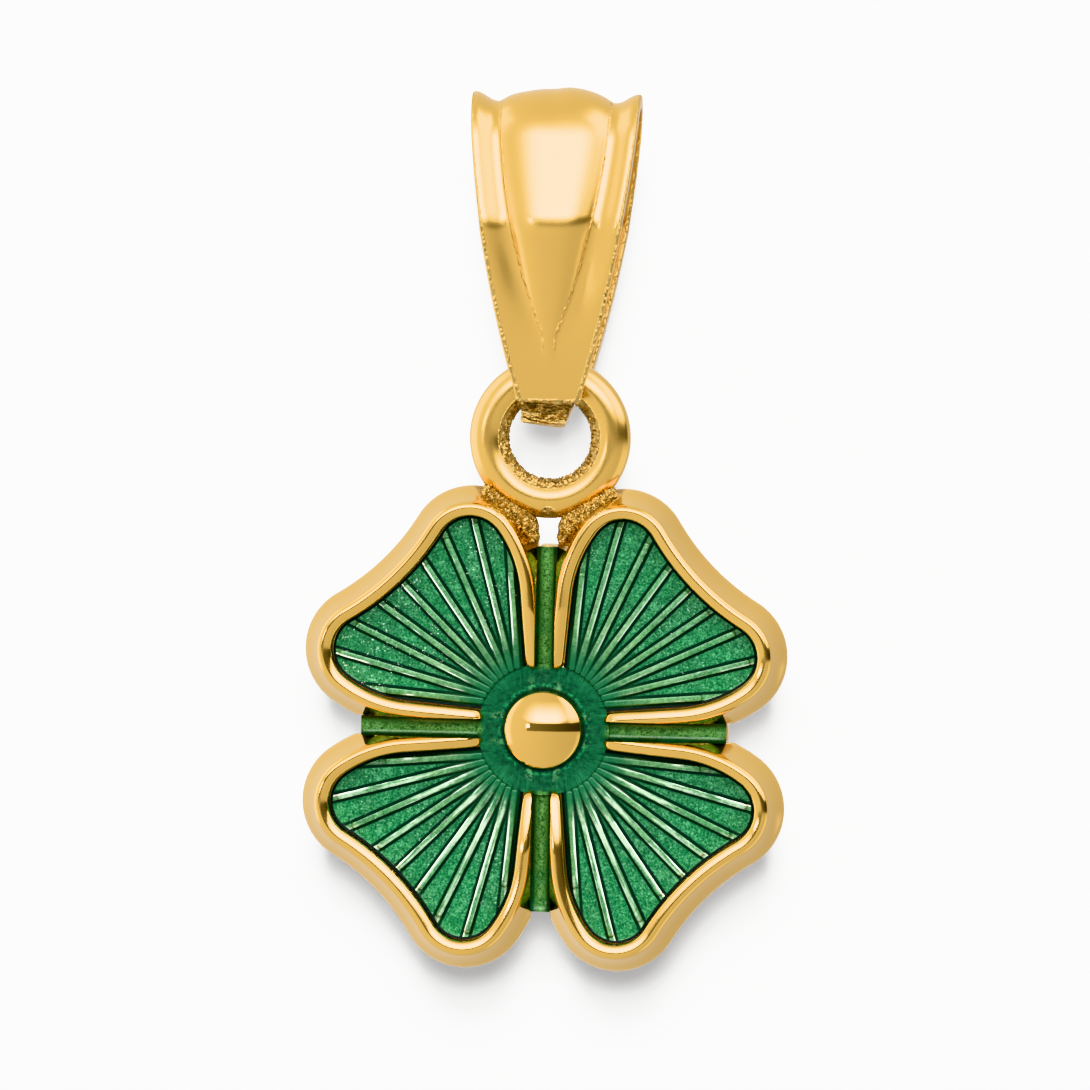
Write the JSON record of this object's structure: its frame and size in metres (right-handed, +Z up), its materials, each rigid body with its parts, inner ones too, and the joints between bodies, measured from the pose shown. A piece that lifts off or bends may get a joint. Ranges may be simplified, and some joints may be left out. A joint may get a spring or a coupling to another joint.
{
  "type": "four leaf clover pendant",
  "caption": "Hanging clover charm in gold with ribbed green enamel leaves, a domed middle, a soldered ring and a folded, fluted bail.",
  "frame": {"origin": "inside top of the bail, where the chain runs", "axes": "+Z up with the charm hanging, front towards -Y, +X to the right of the front view, along the chain"},
  "size_m": [0.0092, 0.0032, 0.0169],
  "materials": {
    "bail_gold": "polished yellow gold",
    "clover_gold": "polished yellow gold",
    "leaf_enamel": "glossy translucent enamel",
    "channel_enamel": "glossy translucent enamel"
  },
  "bodies": {
    "bail": {"bail": "bail_gold"},
    "clover": {"clover_frame": "clover_gold", "leaf_enamel_1": "leaf_enamel", "leaf_enamel_2": "leaf_enamel", "leaf_enamel_3": "leaf_enamel", "leaf_enamel_4": "leaf_enamel", "cross_enamel": "channel_enamel"}
  },
  "joints": [
    {"name": "clover_swing", "type": "hinge", "parent": "bail", "child": "clover", "pos_m": [0, 0, -0.00528], "axis": [1, 0, 0], "range_deg": [-60, 60]}
  ]
}
